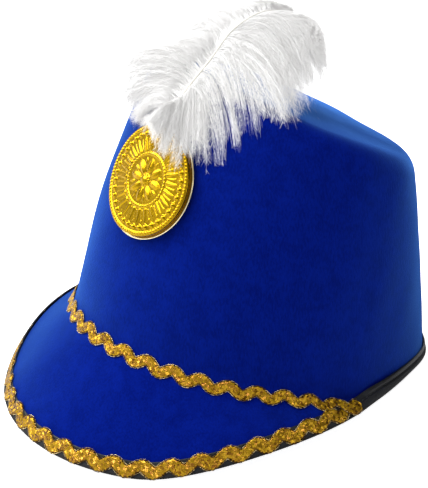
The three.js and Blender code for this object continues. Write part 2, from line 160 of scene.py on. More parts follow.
# Painted shade on the plume: barbs darker at their roots, and the far vane's tones scaled darker than the near
# vane's
VANE_ROOT_SHADE = 0.35
VANE_SHADE = {"near": 1.0, "far": 0.8}
FRINGE_POINTS = 200
# Side hairs of the barbs: their reach shortens along the barb, and they lean along it, aside and down
HAIR = {"each": 125, "from": 0.12, "vary": (0.5, 1.1), "at_root": 1.15, "shorten": 0.6}
HAIR_LEAN = {"along": 0.85, "aside": 0.62, "down": 0.12}
HAIR_HALF_WIDTH = 0.09
# Painted shade: side hairs darker at their roots
HAIR_ROOT_SHADE = 0.4
# Lobes of the plume: where on the quill their barbs start, how far these arch up, lean along the quill and
# scatter, into how many locks they gather, the share they may fall short of their tips, the length of their
# side hairs, how many plain strands and feathered barbs there are, and the line of their tips
LOBE_COLUMNS = (
    "side", "start", "arch", "lean", "scatter", "locks", "short", "hair", "strands", "barbs", "tips",
)
PLUME_LOBES = [
    ("near", (0.09, 0.19), 3, 1, 1.2, 6, 0.3, 5, 110, 75, [
        (-24, -31, 149), (-17, -32, 152), (-10, -35, 154), (-4, -37, 155), (2, -40, 155)]),
    ("near", (0.12, 0.34), 5, 3, 1.6, 10, 0.35, 5, 500, 300, [
        (5, -45, 165), (9, -45, 157), (14, -42, 150), (18, -37, 146), (24, -33, 147), (29, -29, 149),
        (33, -27, 149)]),
    ("near", (0.25, 0.5), 8, 8, 0.7, 8, 0.35, 3, 260, 120, [
        (35, -25, 149), (39, -22, 152), (43, -17, 157), (46, -12, 163), (48, -8, 167)]),
    ("near", (0.38, 0.95), 9, 12, 1.8, 18, 0.25, 5.5, 1000, 590, [
        (51, -4, 170), (54, 1, 171), (53, 9, 172), (50, 16, 174), (46, 25, 175), (42, 33, 178),
        (37, 41, 182), (33, 44, 187), (28, 43, 194), (22, 43, 199)]),
    ("far", (0.14, 0.42), 9, 5, 2.0, 12, 0.15, 6, 500, 480, [
        (-24, -30, 148), (-37, -29, 152), (-44, -28, 160), (-46, -27, 168), (-45, -24, 174), (-42, -18, 177),
        (-37, -11, 177), (-31, -7, 178)]),
    ("far", (0.38, 0.8), 5, 8, 1.7, 11, 0.18, 6, 550, 400, [
        (-36, 0, 180), (-41, 5, 182), (-43, 12, 183), (-42, 21, 186), (-37, 28, 189), (-31, 32, 192)]),
    ("far", (0.7, 0.97), 5, 5, 1.9, 9, 0.35, 6, 250, 150, [
        (-26, 32, 194), (-15, 33, 199), (-5, 35, 202), (5, 37, 203), (14, 41, 201)]),
    ("far", (0.8, 1.0), 4, 3, 2.2, 9, 0.4, 6, 300, 180, [
        (-32, 46, 182), (-26, 56, 175), (-14, 63, 168), (-2, 66, 166), (8, 63, 168), (15, 56, 173)]),
]

# Studio, in metres and watts: sky that is brighter towards the key light, floor and soft lights
SKY = {"towards": (-0.55, -0.53, 0.64), "span": (-0.4, 1.0), "strength": (0.09, 0.75)}
FLOOR_REACH = 6.0
LIGHT_TARGET = (0, 0.02, 0.09)
# Lights: name, place, diameter, power
LIGHTS = [
    ("key_softbox", (-1.5, -1.3, 1.75), 1.8, 87),
    ("top_softbox", (-0.1, -0.45, 2.4), 1.2, 29),
    ("edge_softbox", (2.2, 0.9, 0.45), 1.2, 13),
]


# Felt surface

def vectors(x, y, z):
    return np.stack(np.broadcast_arrays(x, y, z), -1).astype(float)


def lengths(points):
    return np.linalg.norm(points, axis=-1)


def unit(points):
    return points / np.maximum(lengths(points), 1e-9)[..., None]


def mix(start, end, share):
    return start + (end - start) * np.asarray(share)[..., None]


def smoothstep(value, low, high):
    share = np.clip((value - low) / (high - low), 0, 1)
    return share * share * (3 - 2 * share)


def curve_between(start, corner, end, share):
    return mix(mix(start, corner, share), mix(corner, end, share), share)


def outward(angle):
    return vectors(np.sin(angle), -np.cos(angle), 0)


def rim_height(angle):
    return RIM["side_arch"] * smoothstep(np.abs(np.sin(angle)), RIM["flat_sine"], 1)


def peak_reach(angle):
    wrapped = np.abs((angle + np.pi) % (2 * np.pi) - np.pi)
    share = np.minimum(wrapped / PEAK["end"], 1)
    return PEAK["reach"] * np.maximum(np.cos(share * np.pi / 2), 0) ** PEAK["power"]


def join_point(angle):
    free = JOIN["back_z"] + (JOIN["front_z"] - JOIN["back_z"]) * ((1 + np.cos(angle)) / 2) ** JOIN["power"]
    slope = BINDING["leg"] + BINDING["clear"] + TAPE + JOIN["clear_of_tape"]
    lowest = rim_height(angle) + np.sqrt(np.maximum(slope ** 2 - peak_reach(angle) ** 2, 0))
    height = (free + lowest + np.hypot(free - lowest, JOIN["blend"])) / 2
    y = CROWN_BASE["middle_y"] - CROWN_BASE["half_length"] * np.cos(angle)
    return vectors(CROWN_BASE["half_width"] * np.sin(angle), y, height)


def edge_point(angle):
    join = join_point(angle)
    out = outward(angle)
    rim = join + out * peak_reach(angle)[..., None]
    rim[..., 2] = rim_height(angle)
    down = unit(rim - join)
    lean = np.sum(down * out, -1)
    below = BINDING["clear"] + TAPE
    edge = rim - out * (below * lean)[..., None]
    edge[..., 2] += below * -down[..., 2] + (FELT + below) * lean
    return edge


def top_point(angle, share=1.0):
    y = -CROWN_TOP["half_length"] * np.cos(angle) * share
    z = CROWN_TOP["middle_z"] + CROWN_TOP["slope"] * y + CROWN_TOP["dome"] * (1 - np.square(share))
    return vectors(CROWN_TOP["half_width"] * np.sin(angle) * share, CROWN_TOP["middle_y"] + y, z)


def wall_point(angle, share):
    belly = BELLY["back"] + (BELLY["front"] - BELLY["back"]) * (1 + np.cos(angle)) / 2
    on_chord = mix(join_point(angle), top_point(angle), share)
    return on_chord + outward(angle) * (4 * belly * share * (1 - share))[..., None]


def peak_point(angle, share):
    point = mix(join_point(angle), edge_point(angle), share)
    point[..., 2] += 4 * PEAK["bow"] * share * (1 - share) * peak_reach(angle) / PEAK["reach"]
    return point


def lengths_at(angle):
    join = join_point(angle)
    peak = lengths(edge_point(angle) - join)
    wall = lengths(top_point(angle) - join)
    fillet = np.minimum(FILLET["size"], FILLET["share_of_peak"] * (peak - BINDING["leg"]))
    return wall, peak, fillet


def skin(angle, down):
    """Outer felt face, in millimetres down from the join of crown and peak: negative up the wall."""
    angle, down = np.broadcast_arrays(np.asarray(angle, float), np.asarray(down, float))
    wall, peak, fillet = lengths_at(angle)
    upper = wall_point(angle, fillet / wall)
    lower = peak_point(angle, fillet / peak)
    share = np.clip((down + fillet) / (2 * fillet), 0, 1)
    rounded = curve_between(upper, join_point(angle), lower, share)
    on_wall = (down <= -fillet)[..., None]
    on_peak = (down >= fillet)[..., None]
    below = np.where(on_peak, peak_point(angle, down / peak), rounded)
    return np.where(on_wall, wall_point(angle, -down / wall), below)


def above_skin(angle, down, rise):
    turn, step = 0.01, 0.4
    round_hat = skin(angle + turn, down) - skin(angle - turn, down)
    along = skin(angle, down + step) - skin(angle, down - step)
    return skin(angle, down) + unit(np.cross(along, round_hat)) * np.asarray(rise)[..., None]


def angles_by_length(start, end, step, down_at):
    """Angles at even steps of length along the line down_at(angle) on the felt, with those lengths."""
    fine = np.linspace(start, end, FINE_POINTS)
    line = skin(fine, down_at(fine))
    run = np.concatenate([[0], np.cumsum(lengths(np.diff(line, axis=0)))])
    wanted = np.linspace(0, run[-1], int(round(run[-1] / step)) + 1)
    return np.interp(wanted, run, fine), wanted


def edge_down(angle):
    return lengths_at(angle)[1]


# Mesh helpers

def new_piece(name, points, faces, material, stands_for=None, tones=None):
    """A smooth mesh piece from arrays of points in millimetres and of faces with 3 or 4 corners."""
    groups = faces if isinstance(faces, list) else [faces]
    sizes = np.concatenate([np.full(len(group), group.shape[1]) for group in groups])
    corners = np.concatenate([group.ravel() for group in groups]).astype(np.int32)
    starts = np.concatenate([[0], np.cumsum(sizes)[:-1]]).astype(np.int32)
    mesh = bpy.data.meshes.new(name)
    mesh.vertices.add(len(points))
    mesh.vertices.foreach_set("co", (np.asarray(points) * MM).astype(np.float32).ravel())
    mesh.loops.add(len(corners))
    mesh.loops.foreach_set("vertex_index", corners)
    mesh.polygons.add(len(sizes))
    mesh.polygons.foreach_set("loop_start", starts)
    for tone_name, values in (tones or {}).items():
        layer = mesh.attributes.new(tone_name, "FLOAT", "POINT")
        layer.data.foreach_set("value", np.asarray(values, np.float32).ravel())
    mesh.update(calc_edges=True)
    mesh.validate()
    mesh.shade_smooth()
    mesh.materials.append(material)
    piece = bpy.data.objects.new(name, mesh)
    bpy.context.scene.collection.objects.link(piece)
    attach(piece, "root")
    if stands_for:
        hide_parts(stands_for)
    return piece


def grid_faces(rows, columns, closed_rows=False, closed_columns=False):
    """Four-sided faces of a grid of points, row by row; closed directions join their last to their first."""
    i = np.arange(rows if closed_rows else rows - 1)[:, None]
    j = np.arange(columns if closed_columns else columns - 1)[None, :]
    ni, nj = (i + 1) % rows, (j + 1) % columns
    corners = [i * columns + j, i * columns + nj, ni * columns + nj, ni * columns + j]
    return np.stack(np.broadcast_arrays(*corners), -1).reshape(-1, 4)


def facing_out(points, faces):
    """The faces of a closed shell, turned round where they would face inwards."""
    groups = faces if isinstance(faces, list) else [faces]
    volume = 0.0
    for group in groups:
        a, b = points[group[:, 0]], points[group[:, 1]]
        for corner in range(2, group.shape[1]):
            c = points[group[:, corner]]
            volume += np.sum(a * np.cross(b, c))
            b = c
    return groups if volume > 0 else [group[:, ::-1] for group in groups]


def tube(path, radius, sides, tip=1.0):
    """Points and faces of closed tubes along paths of shape (count, steps, 3)."""
    path = np.asarray(path, float)
    count, steps = path.shape[:2]
    tangent = unit(np.gradient(path, axis=1))
    helper = np.where(np.abs(tangent[..., 2:]) > 0.9, np.array([1.0, 0, 0]), np.array([0, 0, 1.0]))
    across = unit(np.cross(tangent, helper))
    other = np.cross(tangent, across)
    turn = np.linspace(0, 2 * np.pi, sides, endpoint=False)
    thick = radius * np.linspace(1, tip, steps)[None, :, None, None]
    ring = across[:, :, None] * np.cos(turn)[:, None] + other[:, :, None] * np.sin(turn)[:, None]
    points = (path[:, :, None] + ring * thick).reshape(-1, 3)
    body = grid_faces(steps, sides, closed_columns=True)
    one_end = np.arange(sides)[None, ::-1]
    far_end = np.arange(sides)[None, :] + (steps - 1) * sides
    caps = np.concatenate([one_end, far_end])
    shift = (np.arange(count) * steps * sides)[:, None, None]
    return points, [(body[None] + shift).reshape(-1, 4), (caps[None] + shift).reshape(-1, sides)]


def smooth_line(points, count):
    """A smooth line through the points, as count points at even steps of length."""
    knots = np.asarray(points, float)
    knots = np.concatenate([[2 * knots[0] - knots[1]], knots, [2 * knots[-1] - knots[-2]]])
    gaps = np.sqrt(lengths(np.diff(knots, axis=0)))
    parts = []
    t = np.linspace(0, 1, 60, endpoint=False)[:, None]
    for k in range(1, len(knots) - 2):
        p0, p1, p2, p3 = knots[k - 1:k + 3]
        d0, d1, d2 = gaps[k - 1:k + 2]
        m1 = ((p1 - p0) / d0 - (p2 - p0) / (d0 + d1) + (p2 - p1) / d1) * d1
        m2 = ((p2 - p1) / d1 - (p3 - p1) / (d1 + d2) + (p3 - p2) / d2) * d1
        blend = (2 * t ** 3 - 3 * t ** 2 + 1) * p1 + (t ** 3 - 2 * t ** 2 + t) * m1
        parts.append(blend + (-2 * t ** 3 + 3 * t ** 2) * p2 + (t ** 3 - t ** 2) * m2)
    fine = np.concatenate(parts + [knots[-2:-1]])
    run = np.concatenate([[0], np.cumsum(lengths(np.diff(fine, axis=0)))])
    wanted = np.linspace(0, run[-1], count)
    return np.stack([np.interp(wanted, run, fine[:, axis]) for axis in range(3)], -1)


def at_share(line, share):
    """Points of an evenly stepped line at shares of its length."""
    place = np.clip(share, 0, 1) * (len(line) - 1)
    return np.stack([np.interp(place, np.arange(len(line)), line[:, axis]) for axis in range(3)], -1)


# Materials

def new_group(name, inputs, outputs):
    """A shader node group with named sockets; returns the tree, its input node and its output node."""
    tree = bpy.data.node_groups.new(name, "ShaderNodeTree")
    for socket, kind, value in inputs:
        made = tree.interface.new_socket(socket, in_out="INPUT", socket_type=kind)
        if value is not None:
            made.default_value = value
    for socket, kind in outputs:
        tree.interface.new_socket(socket, in_out="OUTPUT", socket_type=kind)
    return tree, tree.nodes.new("NodeGroupInput"), tree.nodes.new("NodeGroupOutput")


class Graph:
    """Short words for adding nodes to a tree."""

    def __init__(self, tree):
        self.tree = tree

    def node(self, kind, settings=None, **inputs):
        made = self.tree.nodes.new(kind)
        for key, value in (settings or {}).items():
            setattr(made, key, value)
        for key, value in inputs.items():
            self.put(made.inputs[key.replace("_", " ")], value)
        return made

    def put(self, socket, value):
        if isinstance(value, bpy.types.NodeSocket):
            self.tree.links.new(value, socket)
        else:
            socket.default_value = value

    def math(self, operation, *values):
        made = self.tree.nodes.new("ShaderNodeMath")
        made.operation = operation
        for socket, value in zip(made.inputs, values):
            self.put(socket, value)
        return made.outputs[0]

    def vector(self, operation, *values):
        made = self.tree.nodes.new("ShaderNodeVectorMath")
        made.operation = operation
        for socket, value in zip(made.inputs, values):
            self.put(socket, value)
        return made.outputs[0]

    def span(self, value, low, high, to_low=0.0, to_high=1.0):
        made = self.node("ShaderNodeMapRange", {"interpolation_type": "SMOOTHSTEP"})
        for key, number in (("Value", value), ("From Min", low), ("From Max", high),
                            ("To Min", to_low), ("To Max", to_high)):
            self.put(made.inputs[key], number)
        return made.outputs["Result"]

    def blend(self, share, first, second):
        made = self.node("ShaderNodeMix", {"data_type": "RGBA"})
        self.put(made.inputs[0], share)
        self.put(made.inputs[6], first)
        self.put(made.inputs[7], second)
        return made.outputs[2]


def colour(red, green, blue):
    return (red, green, blue, 1)


def fibre_nap():
    """Short matted fibres: a tone from 0 to 1, streaked along Z, and a height for bump."""
    tree, source, result = new_group(
        "Fibre nap",
        [("Size", "NodeSocketFloat", 1.0), ("Streak", "NodeSocketFloat", 0.35)],
        [("Tone", "NodeSocketFloat"), ("Height", "NodeSocketFloat")],
    )
    g = Graph(tree)
    place = g.node("ShaderNodeTexCoord").outputs["Object"]
    scaled = g.node("ShaderNodeVectorMath", {"operation": "SCALE"})
    g.put(scaled.inputs[0], place)
    g.put(scaled.inputs["Scale"], g.math("DIVIDE", 1000.0, source.outputs["Size"]))
    drawn = g.node("ShaderNodeCombineXYZ", None, X=1.0, Y=1.0)
    g.put(drawn.inputs["Z"], source.outputs["Streak"])
    streaked = g.vector("MULTIPLY", scaled.outputs[0], drawn.outputs[0])
    noise = "ShaderNodeTexNoise"
    fine = g.node(noise, None, Vector=streaked, Scale=1.0, Detail=4.0, Roughness=0.65).outputs["Fac"]
    broad = g.node(noise, None, Vector=scaled.outputs[0], Scale=0.12, Detail=3.0).outputs["Fac"]
    tone = g.math("ADD", g.math("MULTIPLY", fine, 0.65), g.math("MULTIPLY", broad, 0.35))
    g.put(result.inputs["Tone"], g.span(tone, 0.35, 0.65))
    g.put(result.inputs["Height"], fine)
    return tree


def glitter():
    """Small flat flakes of foil: each flake's own tone and the normal of its tilt."""
    tree, source, result = new_group(
        "Glitter",
        [("Flake size", "NodeSocketFloat", 0.5), ("Tilt", "NodeSocketFloat", 0.6)],
        [("Tone", "NodeSocketFloat"), ("Normal", "NodeSocketVector")],
    )
    g = Graph(tree)
    place = g.node("ShaderNodeTexCoord").outputs["Object"]
    cells = g.node("ShaderNodeTexVoronoi", {"feature": "F1"}, Vector=place)
    g.put(cells.inputs["Scale"], g.math("DIVIDE", 1000.0, source.outputs["Flake size"]))
    lean = g.vector("SUBTRACT", cells.outputs["Color"], (0.5, 0.5, 0.5))
    tilted = g.node("ShaderNodeVectorMath", {"operation": "SCALE"})
    g.put(tilted.inputs[0], lean)
    g.put(tilted.inputs["Scale"], source.outputs["Tilt"])
    normal = g.node("ShaderNodeNewGeometry").outputs["Normal"]
    g.put(result.inputs["Normal"], g.vector("NORMALIZE", g.vector("ADD", normal, tilted.outputs[0])))
    channels = g.node("ShaderNodeSeparateColor", None, Color=cells.outputs["Color"])
    g.put(result.inputs["Tone"], channels.outputs[0])
    return tree


def new_material(name):
    material = bpy.data.materials.new(name)
    material.use_nodes = True
    shader = material.node_tree.nodes["Principled BSDF"]
    return material, Graph(material.node_tree), shader


def use_group(g, tree, **inputs):
    made = g.node("ShaderNodeGroup", {"node_tree": tree})
    for key, value in inputs.items():
        g.put(made.inputs[key.replace("_", " ")], value)
    return made.outputs


def set_shader(g, shader, **inputs):
    for key, value in inputs.items():
        g.put(shader.inputs[key.replace("_", " ")], value)


def attribute(g, name):
    return g.node("ShaderNodeAttribute", {"attribute_name": name}).outputs["Fac"]


def felt_material(nap):
    material, g, shader = new_material("Blue wool felt")
    fibres = use_group(g, nap, Size=0.9, Streak=0.3)
    shade = g.blend(fibres["Tone"], colour(0.0003, 0.0028, 0.106), colour(0.0008, 0.0064, 0.166))
    bump = g.node("ShaderNodeBump", None, Strength=0.35, Distance=0.0004, Height=fibres["Height"])
    set_shader(g, shader, Base_Color=shade, Roughness=0.95, Specular_IOR_Level=0.0, Normal=bump.outputs[0],
               Sheen_Weight=0.84, Sheen_Roughness=0.42, Sheen_Tint=colour(0.09, 0.29, 0.84))
    return material


def tape_material(nap):
    material, g, shader = new_material("Black binding tape")
    fibres = use_group(g, nap, Size=0.5, Streak=1.0)
    shade = g.blend(fibres["Tone"], colour(0.004, 0.004, 0.005), colour(0.014, 0.015, 0.018))
    plain = g.span(fibres["Tone"], 0.0, 1.0, 0.36, 0.46)
    rough = g.math("ADD", plain, g.math("MULTIPLY", attribute(g, "ribbed"), 0.3))
    bump = g.node("ShaderNodeBump", None, Strength=0.2, Distance=0.0003, Height=fibres["Height"])
    set_shader(g, shader, Base_Color=shade, Roughness=rough, Normal=bump.outputs[0], Specular_IOR_Level=0.3)
    return material


def thread_material(nap):
    material, g, shader = new_material("Black sewing thread")
    fibres = use_group(g, nap, Size=0.3, Streak=1.0)
    shade = g.blend(fibres["Tone"], colour(0.006, 0.006, 0.008), colour(0.03, 0.032, 0.038))
    set_shader(g, shader, Base_Color=shade, Roughness=0.55)
    return material


def braid_material(flakes):
    material, g, shader = new_material("Gold foil braid")
    sparkle = use_group(g, flakes, Flake_size=1.15, Tilt=1.05)
    raised = attribute(g, "relief")
    foil = g.blend(sparkle["Tone"], colour(0.22, 0.085, 0.001), colour(0.5, 0.295, 0.004))
    # Painted shade: low spots of the weave, the outer edges and the underside are mixed towards a dark brown
    shade = g.blend(g.span(raised, 0.0, 0.7), colour(0.09, 0.036, 0.003), foil)
    rough = g.span(sparkle["Tone"], 0.0, 1.0, 0.22, 0.42)
    set_shader(g, shader, Base_Color=shade, Roughness=rough, Metallic=0.7, Normal=sparkle["Normal"])
    return material


def picot_material(flakes):
    material, g, shader = new_material("Pale gold edge loops")
    sparkle = use_group(g, flakes, Flake_size=1.6, Tilt=0.7)
    shade = g.blend(g.span(sparkle["Tone"], 0.3, 0.9), colour(0.07, 0.03, 0.005), colour(0.7, 0.53, 0.25))
    set_shader(g, shader, Base_Color=shade, Roughness=0.35, Metallic=0.6, Normal=sparkle["Normal"])
    return material


def badge_material(nap):
    material, g, shader = new_material("Gold moulded plastic")
    cast = use_group(g, nap, Size=0.7, Streak=1.0)
    raised = attribute(g, "relief")
    lit = g.blend(cast["Tone"], colour(0.38, 0.218, 0.001), colour(0.47, 0.287, 0.003))
    # Painted shade: low relief, the rim wall and the back are mixed towards a dark amber
    gold = g.blend(g.span(raised, 0.0, 0.75), colour(0.23, 0.115, 0.001), lit)
    # Painted highlight: pale cream painted along the rim lip
    shade = g.blend(attribute(g, "rim_highlight"), gold, colour(0.86, 0.74, 0.46))
    rough = g.span(cast["Tone"], 0.0, 1.0, 0.17, 0.27)
    bump = g.node("ShaderNodeBump", None, Strength=0.12, Distance=0.0002, Height=cast["Height"])
    set_shader(g, shader, Base_Color=shade, Roughness=rough, Metallic=0.9, Normal=bump.outputs[0])
    return material


def feather_material(name, low, high):
    material, g, shader = new_material(name)
    shade = g.blend(attribute(g, "tone"), low, high)
    # Painted light: a faint white glow in the barbs and the quill, standing in for light scattered through the
    # dense plume
    set_shader(g, shader, Base_Color=shade, Roughness=0.75, Specular_IOR_Level=0.25,
               Emission_Color=colour(1, 1, 1), Emission_Strength=0.07)
    return material


def floor_material(nap):
    material, g, shader = new_material("Pale studio floor")
    grain = use_group(g, nap, Size=30.0, Streak=1.0)
    shade = g.blend(grain["Tone"], colour(0.9, 0.9, 0.9), colour(0.92, 0.92, 0.92))
    seen = g.node("ShaderNodeLightPath").outputs["Is Camera Ray"]
    set_shader(g, shader, Base_Color=shade, Roughness=0.9, Specular_IOR_Level=0.1,
               Emission_Color=colour(1, 1, 1), Emission_Strength=g.span(seen, 0.0, 1.0, 0.1, 0.92))
    return material


# Pieces

def uneven(points, rng, size, waves, longest, shortest):
    """Slow soft unevenness of moulded felt, in millimetres, at the given points."""
    total = np.zeros(points.shape[:-1])
    for wave in range(waves):
        length = longest * (shortest / longest) ** (wave / (waves - 1))
        direction = unit(rng.normal(size=3))
        phase = rng.uniform(0, 2 * np.pi)
        total += np.sin(points @ direction * (2 * np.pi / length) + phase) * length / longest
    return size * total


def make_felt_body(material):
    rng = np.random.default_rng(SEED)
    size = FELT_GRID
    angle = np.linspace(-np.pi, np.pi, size["around"], endpoint=False)
    wall, peak, fillet = (value[:, None] for value in lengths_at(angle))
    angle = angle[:, None]
    corner = top_point(angle)
    start = 1 - SHOULDER / lengths(corner - top_point(angle, 0.0))
    top = top_point(angle, start * np.linspace(FELT_TOP_START, 1, size["top"])[None, :])
    over = np.linspace(0, 1, size["shoulder"] + 1)[None, 1:]
    side = wall_point(angle, 1 - SHOULDER / wall)
    shoulder = curve_between(top[:, -1:], corner, side, over)
    drop = np.linspace(0, 1, size["wall"] + 1)[None, 1:]
    down_wall = skin(angle, -(wall - SHOULDER) + (wall - SHOULDER - fillet) * drop)
    down_fillet = skin(angle, fillet * np.linspace(-1, 1, size["fillet"] + 1)[None, 1:])
    down_peak = skin(angle, fillet + (peak - fillet) * np.linspace(0, 1, size["peak"] + 1)[None, 1:])
    outer = np.concatenate([top, shoulder, down_wall, down_fillet, down_peak], 1)
    rows = outer.shape[1]
    round_hat = np.roll(outer, -1, 0) - np.roll(outer, 1, 0)
    normal = unit(np.cross(np.gradient(outer, axis=1), round_hat))
    fade = np.clip((rows - 1 - np.arange(rows)) / FELT_EDGE_FADE, 0, 1)[None, :]
    inner = outer - normal * FELT
    soft = uneven(outer, rng, **FELT_UNEVEN) * fade
    from_edge = -lengths(outer - outer[:, -1:])
    on_peak = np.arange(rows)[None, :] > rows - size["peak"]
    pressed = on_peak * rim_drop(angle, from_edge) * flat_front(angle)
    outer = outer + normal * (soft - pressed)[..., None]
    inner = inner + normal * soft[..., None]
    middle = outer[:, 0].mean(0)
    shell = np.concatenate([outer, inner[:, ::-1]], 1)
    columns = shell.shape[1]
    points = np.concatenate([shell.reshape(-1, 3), [middle, middle - [0, 0, FELT]]])
    station = np.arange(size["around"]) * columns
    after = np.roll(station, -1)
    outer_middle = np.full(len(station), len(points) - 2)
    inner_middle = outer_middle + 1
    outer_cap = np.stack([station, after, outer_middle], -1)
    inner_cap = np.stack([after + columns - 1, station + columns - 1, inner_middle], -1)
    faces = [grid_faces(size["around"], columns, closed_rows=True), outer_cap, inner_cap]
    return new_piece("felt_shell", points, facing_out(points, faces), material, "felt_body")


# Closed outline of the binding across the felt edge: distance below the edge, rise off the felt,
# ribbed share
BINDING_OUTLINE = [
    (-6.0, 0.5, 0), (-6.05, 0.85, 0), (-5.8, 1.15, 0.1), (-5.2, 1.34, 0.2), (-4.5, 1.4, 0.2),
    (-3.9, 1.3, 0.2),
    (-3.5, 0.9, 0), (-3.15, 0.3, 0), (-2.85, 0.8, 0.4), (-2.6, 1.4, 0.8), (-2.2, 1.7, 1), (-1.5, 1.8, 1),
    (-0.7, 1.76, 1), (0.1, 1.5, 1), (0.7, 1.0, 1), (1.1, 0.3, 1), (1.25, -0.7, 1), (1.25, -2.0, 0.6),
    (1.1, -2.8, 0.3), (0.6, -3.3, 0), (-0.4, -3.45, 0), (-3.0, -3.45, 0), (-5.6, -3.42, 0), (-6.0, -3.1, 0),
    (-5.8, -2.65, 0), (-3.0, -2.65, 0), (0.45, -2.65, 0), (0.45, 0.45, 0), (-3.0, 0.5, 0),
]


def flat_front(angle):
    """1 where the binding lies flat under the edge braid, 0 round the back."""
    start, end = math.radians(BINDING_FRONT["from"]), math.radians(BINDING_FRONT["to"])
    return 1 - smoothstep(np.abs(angle), start, end)


def wider(angle):
    """1 where the front binding is sewn wider, on the wearer's right, and 0 on the left."""
    return smoothstep(-angle, math.radians(BINDING_TOP["from"]), math.radians(BINDING_TOP["to"]))


def front_top(angle):
    return BINDING_TOP["left"] + (BINDING_TOP["right"] - BINDING_TOP["left"]) * wider(angle)


def front_lip(angle, along):
    """Height of the folded upper edge of the binding under the edge braid."""
    half = BINDING_FRONT["lip_half"]
    height = BINDING_TOP["left_lip"] + (BINDING_TOP["right_lip"] - BINDING_TOP["left_lip"]) * wider(angle)
    return height * np.exp(-((along - front_top(angle) - half) / half) ** 2)


def rim_drop(angle, along):
    """How much steeper than the peak the bound edge runs, as a drop off the felt's outer face."""
    return BINDING_FRONT["tilt"] * np.maximum(along - front_top(angle), 0)


def make_binding(material):
    angle, run = angles_by_length(-np.pi, np.pi, BINDING_STEP, edge_down)
    angle, run = angle[:-1, None], run[:-1, None]
    along, rise, ribbed = (np.array(column)[None, :] for column in zip(*BINDING_OUTLINE))
    turns = np.round(run.max() / RIB["pitch"]) * 2 * np.pi / (run.max() + BINDING_STEP)
    rib = RIB["height"] * ribbed * np.cos(run * turns + along * RIB["slant"])
    front = flat_front(angle)
    along = along + (front_top(angle) + BINDING["leg"]) * front * (along < BINDING_LIMITS["groove"])
    outer_face = rise > BINDING_LIMITS["outer_rise"]
    flat = np.where(outer_face, BINDING_FRONT["rise"] + front_lip(angle, along), rise)
    flat = flat - rim_drop(angle, along) * (rise > BINDING_LIMITS["inner_rise"])
    rise = rise + (flat - rise) * front
    out_along, out_rise = along - BINDING_MIDDLE[0], rise - BINDING_MIDDLE[1]
    far = np.hypot(out_along, out_rise)
    outline_along = along + rib * out_along / far
    outline_rise = rise + rib * out_rise / far
    points = above_skin(angle, edge_down(angle) + outline_along, outline_rise)
    rows, columns = points.shape[:2]
    points = points.reshape(-1, 3)
    points[:, 2] = np.maximum(points[:, 2], 0)
    faces = facing_out(points, grid_faces(rows, columns, True, True))
    tones = {"ribbed": np.broadcast_to(ribbed, (rows, columns))}
    return new_piece("binding_tape", points, faces, material, "edge_binding", tones)


def make_stitches(material):
    angle, run = angles_by_length(-np.pi, np.pi, TRACE_STEP, edge_down)
    count = int(run[-1] / STITCH["pitch"])
    starts = np.arange(count) * run[-1] / count
    share = np.linspace(0, 1, STITCH["steps"])
    places = starts[:, None] + share[None, :] * STITCH["length"]
    angles = np.interp(places, run, angle)
    drop = rim_drop(angles, STITCH["along"]) * flat_front(angles)
    rise = STITCH["rise"] - drop - STITCH["dive"] * (2 * share - 1)[None, :] ** 4
    path = above_skin(angles, edge_down(angles) + STITCH["along"], np.broadcast_to(rise, places.shape))
    points, faces = tube(path, STITCH["radius"], STITCH["sides"])
    return new_piece("binding_stitches", points, faces, material)


def braid_line(size, down_at, rise_at):
    """The braid's length, its zig-zag, and its places by length along the line: angle, drop and rise."""
    end = math.radians(size["end"])
    angle, run = angles_by_length(-end, end, TRACE_STEP, down_at)
    crest = np.interp(math.radians(size["crest"]), angle, run)

    def zigzag(along):
        return -size["wave"] * np.cos((along - crest) * 2 * np.pi / size["pitch"])

    def place(along, across):
        where = np.interp(along, run, angle)
        drop = down_at(where) + across
        return where, drop, rise_at(where, drop)

    return run[-1], zigzag, place


